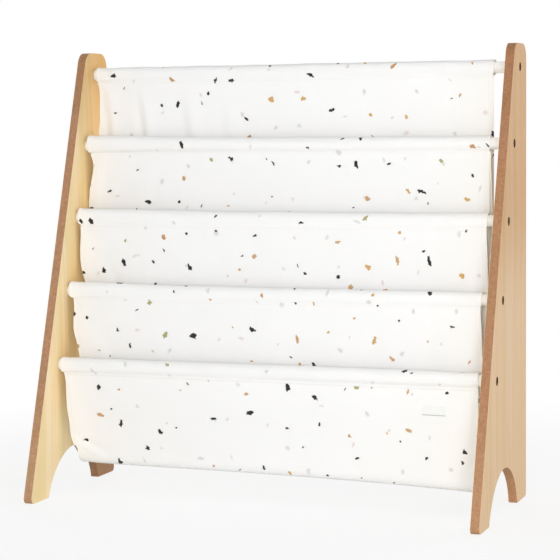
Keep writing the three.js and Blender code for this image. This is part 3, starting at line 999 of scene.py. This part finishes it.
# A closed sheet from its outer and inner side, both as rows of points from the top down
def sheetObject(name, outer, inner, finish, over, down):
    rowCount, columnCount = outer.shape[:2]
    layer = rowCount * columnCount
    at = np.arange(layer).reshape(rowCount, columnCount)
    quads = np.stack([at[:-1, :-1], at[1:, :-1], at[1:, 1:], at[:-1, 1:]], axis=-1).reshape(-1, 4)
    faces = quads.tolist() + (quads[:, ::-1] + layer).tolist()
    for line in (at[0, :], at[:, -1], at[-1, ::-1], at[::-1, 0]):
        for first, second in zip(line[:-1].tolist(), line[1:].tolist()):
            faces.append([first, second, second + layer, first + layer])
    flat = np.stack(np.broadcast_arrays(over[None, :], down[:, None]), axis=-1).reshape(-1, 2)
    points = np.concatenate([outer.reshape(-1, 3), inner.reshape(-1, 3)])
    return meshObject(name, points, faces, finish, np.concatenate([flat, flat]))


def buildSling(finish):
    across = columnShares()
    labels, middle = slingSurface(across)
    normals = surfaceNormals(middle)
    printDepth, reverseDepth = clothDepths(across)
    printed = middle + normals * printDepth[None, :, None]
    reverse = middle - normals * reverseDepth[None, :, None]
    steps = np.linalg.norm(np.diff(middle, axis=0), axis=2).mean(axis=1)
    along = np.concatenate([[0], np.cumsum(steps)])
    made = sheetObject("sling", printed, reverse, finish, across * sling["width"], along)
    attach(made, "root")
    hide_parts(*[f"sleeve_{n}" for n in range(1, rodCount + 1)],
                *[f"pocket_{n}" for n in range(1, rodCount)])
    shape = {"labels": labels, "across": across, "printed": printed, "reverse": reverse, "normals": normals,
             "length": float(along[-1])}
    return made, shape


slingPiece, slingShape = buildSling(makeCanvas())
print("sling built,", len(slingPiece.data.polygons), "faces, cut length", round(slingShape["length"], 4))


# Stitches: short runs of thread that dip into the cloth at both ends
stitches = {
    "shader": {"Sheen Weight": 0.1},
    "thread": (0.86, 0.85, 0.83),
    "threadDark": (0.74, 0.72, 0.69),
    "twist": (2600, 2600, 2600),
    "twistFade": (0.4, 0.65),
    "roughness": (0.2, 0.5),
    "relief": (0.05 * mm, 0.5),
    "pitch": 3.2 * mm,
    "length": 2.5 * mm,
    "radius": 0.2 * mm,
    "sides": 5,
    # a stitch's rings: place along it from -1 to 1, size, and height over the cloth, in radii
    "rings": ((-1, 0.45, -0.9), (-0.62, 1, 0.25), (0.62, 1, 0.25), (1, 0.45, -0.9)),
    "firstAt": 0.7,  # pitches from the start, and clear of the end
    "endClear": 0.5,
    "lookAhead": 0.4 * mm,
    "wander": 0.05,
    "seamRows": (1, 23),  # of a sleeve, in the middle of its seam, behind and in front
    "seamSeed": 300,
    "hemSeeds": (400, 410),  # printed side, and the reverse of the first pocket
    "labelSeed": 500,
}


def makeThread():
    finish, shader = newFinish("sewingThread", stitches["shader"])
    twist = grainOf(spotOn(), stitches["twist"], 1)
    tone = fadeBetween(twist, *stitches["twistFade"])
    colour = blendColour(tone, stitches["thread"], stitches["threadDark"])
    roughness = timesPlus(tone, *stitches["roughness"])
    dressShader(shader, colour, roughness, twist, *stitches["relief"])
    return finish


def unitOf(vector):
    return vector / np.linalg.norm(vector)


# The points and faces of the stitches along each line, which has an outward way and a seed
def sewAlong(lines):
    points, faces = [], []
    pitch, radius, sides, rings = (stitches[name] for name in ("pitch", "radius", "sides", "rings"))
    for line, outward, seed in lines:
        dice = np.random.default_rng(seed)
        lengths = np.concatenate([[0], np.cumsum(np.linalg.norm(np.diff(line, axis=0), axis=1))])
        marks = np.arange(pitch * stitches["firstAt"], lengths[-1] - pitch * stitches["endClear"], pitch)
        spots, nexts, ups = (
            np.stack([np.interp(places, lengths, values[:, axis]) for axis in range(3)], axis=1)
            for places, values in ((marks, line), (marks + stitches["lookAhead"], line), (marks, outward)))
        for spot, after, up in zip(spots, nexts, ups):
            way, up = unitOf(after - spot), unitOf(up)
            beside = np.cross(up, way)
            way = way + beside * dice.normal(0, stitches["wander"])
            start = len(points)
            for reach, size, lift in rings:
                centre = spot + way * reach * stitches["length"] / 2 + up * lift * radius
                for side in range(sides):
                    angle = 2 * math.pi * side / sides
                    out = beside * math.cos(angle) + up * math.sin(angle)
                    points.append(centre + out * radius * size)
            for first in range(start, start + (len(rings) - 1) * sides, sides):
                for side in range(sides):
                    here, beyond = first + side, first + (side + 1) % sides
                    faces.append([here, beyond, beyond + sides, here + sides])
            faces.append([start + side for side in reversed(range(sides))])
            faces.append([start + (len(rings) - 1) * sides + side for side in range(sides)])
    return np.array(points), faces


def addStitches(name, lines, finish):
    made = meshObject(name, *sewAlong(lines), finish)
    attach(made, "root")
    return made


threadFinish = makeThread()
labels, printed, reverse, normals = (slingShape[name] for name in ("labels", "printed", "reverse", "normals"))
sewing = []
for level in range(rodCount):
    lines = []
    for number in stitches["seamRows"]:
        row = labels.index(("sleeve", level, number))
        lines.append((printed[row, 2:-2], normals[row, 2:-2], stitches["seamSeed"] + 10 * level + number))
    sewing.append(addStitches(f"seam_stitches_{level + 1}", lines, threadFinish))
printSeed, reverseSeed = stitches["hemSeeds"]
for side, column in (("left", sling["stitchColumn"]), ("right", -1 - sling["stitchColumn"])):
    lines = [(printed[:, column], normals[:, column], printSeed)]
    for level in range(rodCount - 1):  # the reverse is sewn too, where no tube is in the way
        rows = [n for n, (kind, place, _) in enumerate(labels) if place == level and kind != "sleeve"]
        lines.append((reverse[rows][:, column], -normals[rows][:, column], reverseSeed + level))
    sewing.append(addStitches(f"hem_stitches_{side}", lines, threadFinish))
print("seams and hems sewn")


# The blank label near the right end of the lowest pocket
tape = {
    "shader": {"Sheen Weight": 0.2},
    "width": 31 * mm,
    "height": 12 * mm,
    "thickness": 0.45 * mm,
    "across": 0.9,
    "lift": 0.08 * mm,
    "trim": 0.2 * mm,
    "loose": 0.45 * mm,  # the lower edge stands off by this, over a share of the height
    "looseShare": 0.35,
    "columns": 26,
    "rows": 12,
    "softEdge": 0.15 * mm,
    "colour": (0.89, 0.895, 0.885),
    "shade": (0.83, 0.835, 0.82),
    # painted shadow: a grey line along the label's lower edge
    "line": (0.4, 0.41, 0.38),
    "threads": {"Pitch": 0.3 * mm, "Slub": 0.2},
    "border": (1.3 * mm, 0.9 * mm),  # from an edge, where it sets in and is full
    "shadowLineFrom": (0.2 * mm, 0.4 * mm),
    "shares": (0.5, 0.15),  # of the border and the threads in the shade
    "roughness": (0.1, 0.68),
    "relief": (0.06 * mm, 0.5),
}


def makeTape():
    finish, shader = newFinish("labelTape", tape["shader"])
    cut = cutOn()
    threads = useGroup(weave, cut, **tape["threads"])
    up = partsOf(cut)["Y"]
    low = fadeBetween(up, *tape["border"])
    high = fadeBetween(up, *(tape["height"] - inset for inset in tape["border"]))
    # painted shadow along the lower edge
    line = times(low, fadeBetween(up, *tape["shadowLineFrom"]))
    borderShare, threadShare = tape["shares"]
    tone = times(threads["Height"], threadShare)
    tone = timesPlus(calc("MAXIMUM", low, high), borderShare, tone)
    colour = blendColour(tone, tape["colour"], tape["shade"])
    colour = blendColour(line, colour, tape["line"])
    roughness = timesPlus(threads["Tone"], *tape["roughness"])
    dressShader(shader, colour, roughness, threads["Height"], *tape["relief"])
    return finish


# A grid of points read between its own rows and columns
def gridAt(grid, rows, columns):
    row = np.minimum(rows.astype(int), grid.shape[0] - 2)
    column = np.minimum(columns.astype(int), grid.shape[1] - 2)
    down, over = (rows - row)[:, None, None], (columns - column)[None, :, None]
    first, second = (grid[n][:, column] * (1 - over) + grid[n][:, column + 1] * over for n in (row, row + 1))
    return first * (1 - down) + second * down


def buildLabel(finish):
    low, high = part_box("sewn_label")
    rows = [n for n, (kind, level, _) in enumerate(labels) if kind == "front" and level == rodCount - 2]
    surface, outward = reverse[rows], -normals[rows]
    across = slingShape["across"]
    columns = np.arange(len(across))
    middleColumn = round(float(np.interp(tape["across"], across, columns)))
    up = np.linspace(1, 0, tape["rows"])
    rise = (up - 0.5) * (tape["height"] - tape["trim"])
    run = (np.linspace(0, 1, tape["columns"]) - 0.5) * tape["width"]
    atRow = np.interp((low.z + high.z) / 2 + rise, surface[:, middleColumn, 2], np.arange(len(rows)))
    atColumn = np.interp(tape["across"] + run / sling["width"], across, columns)
    ups = gridAt(outward, atRow, atColumn)
    free = tape["loose"] * np.maximum(0, tape["looseShare"] - up) / tape["looseShare"]
    back = gridAt(surface, atRow, atColumn) + ups * (tape["lift"] + free)[:, None, None]
    front = back + ups * tape["thickness"]
    made = sheetObject("blank_label", front, back, finish, run + tape["width"] / 2, rise + tape["height"] / 2)
    bevel = made.modifiers.new("softEdge", "BEVEL")
    bevel.width = tape["softEdge"]
    bevel.segments = 2
    bevel.limit_method = "ANGLE"
    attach(made, "root")
    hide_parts("sewn_label")
    lines = []
    for place, column in enumerate((1, -2)):  # sewn from the foot up, beside both ends
        lines.append((front[-2:0:-1, column], ups[-2:0:-1, column], stitches["labelSeed"] + place))
    return made, addStitches("label_stitches", lines, threadFinish)


labelPiece, labelSewing = buildLabel(makeTape())
sewing += [labelPiece, labelSewing]
print("label sewn on")


# Studio: pale floor, white backdrop and soft lamps
studio = {
    "white": (1, 1, 1),
    "world": 0.35,
    "worldColour": (0.94, 0.985, 1),
    "lampColour": (0.98, 0.972, 0.96),
    # name, place, aim, size, watts
    "lamps": [
        ("front", (0.74, -2.72, 0.6), (0, 0, 0.3), 0.6, 28),
        ("front right", (1.3, -2.12, 0.62), (0, 0, 0.3), 0.5, 12),
        ("left", (-2, -0.7, 0.5), (-0.2, 0, 0.25), 1.2, 3),
        ("right", (2, -1, 0.35), (0.2, 0, 0.2), 1.2, 3),
        ("top", (0.1, -0.5, 2.7), (0, 0, 0.3), 2.2, 10),
        ("rear left", (-1.2, 2.2, 1.9), (0, 0, 0.3), 1.8, 14),
        ("rear right", (1.5, 1.7, 0.9), (-0.3, 0, 0.35), 1.2, 12),
    ],
    "floor": (0.86, 0.86, 0.86),
    "speck": (0.8, 0.8, 0.8),
    "speckTurns": 60,
    "speckShare": 0.05,
    "roughness": 0.9,
    "glow": (0.45, 1.1, 0.82, 1),  # metres from the middle, and how much glows white there
    "half": 30,
    "drop": 0.2 * mm,
}


def addLamps():
    for name, spot, aim, size, watts in studio["lamps"]:
        data = bpy.data.lights.new(name, "AREA")
        data.shape = "SQUARE"
        data.size = size
        data.energy = watts
        data.color = studio["lampColour"]
        lamp = addObject(name, data)
        lamp.location = spot
        lamp.rotation_euler = (Vector(aim) - Vector(spot)).to_track_quat("-Z", "Y").to_euler()


# 1 for rays that look at a surface, straight or by reflection, and 0 for those that only light it
def isSeen():
    rays = addNode("ShaderNodeLightPath").outputs
    through = calc("MAXIMUM", rays["Is Glossy Ray"], rays["Is Transmission Ray"])
    return calc("MAXIMUM", rays["Is Camera Ray"], through)


def addWorld():
    world = bpy.data.worlds.new("studio")
    world.use_nodes = True
    startTree(world.node_tree)
    lit, white = (addNode("ShaderNodeBackground", {"Color": colour, "Strength": strength}).outputs[0]
                  for colour, strength in ((studio["worldColour"], studio["world"]), (studio["white"], 1)))
    mixed = addNode("ShaderNodeMixShader", {0: isSeen(), 1: lit, 2: white})
    addNode("ShaderNodeOutputWorld", {"Surface": mixed.outputs[0]})
    bpy.context.scene.world = world


def addFloor():
    finish, paper = newFinish("floorPaper", {"Roughness": studio["roughness"]})
    spot = spotOn()
    speck = times(noiseOf(spot, studio["speckTurns"], 3), studio["speckShare"])
    feed(paper.inputs["Base Color"], blendColour(speck, studio["floor"], studio["speck"]))
    glow = addNode("ShaderNodeEmission", {"Color": studio["white"], "Strength": 1})
    amount = times(isSeen(), fadeBetween(lengthOf(spot), *studio["glow"]))
    mixed = addNode("ShaderNodeMixShader", {0: amount, 1: paper.outputs[0], 2: glow.outputs[0]})
    feed(finish.node_tree.nodes["Material Output"].inputs["Surface"], mixed.outputs[0])
    half, drop = studio["half"], studio["drop"]
    corners = np.array([(x * half, y * half, -drop) for x, y in ((-1, -1), (1, -1), (1, 1), (-1, 1))])
    floor = meshObject("floor", corners, [[0, 1, 2, 3]], finish, shadeSmooth=False)


addLamps()
addWorld()
addFloor()
bpy.context.scene.view_settings.view_transform = "Standard"
print("studio lit")
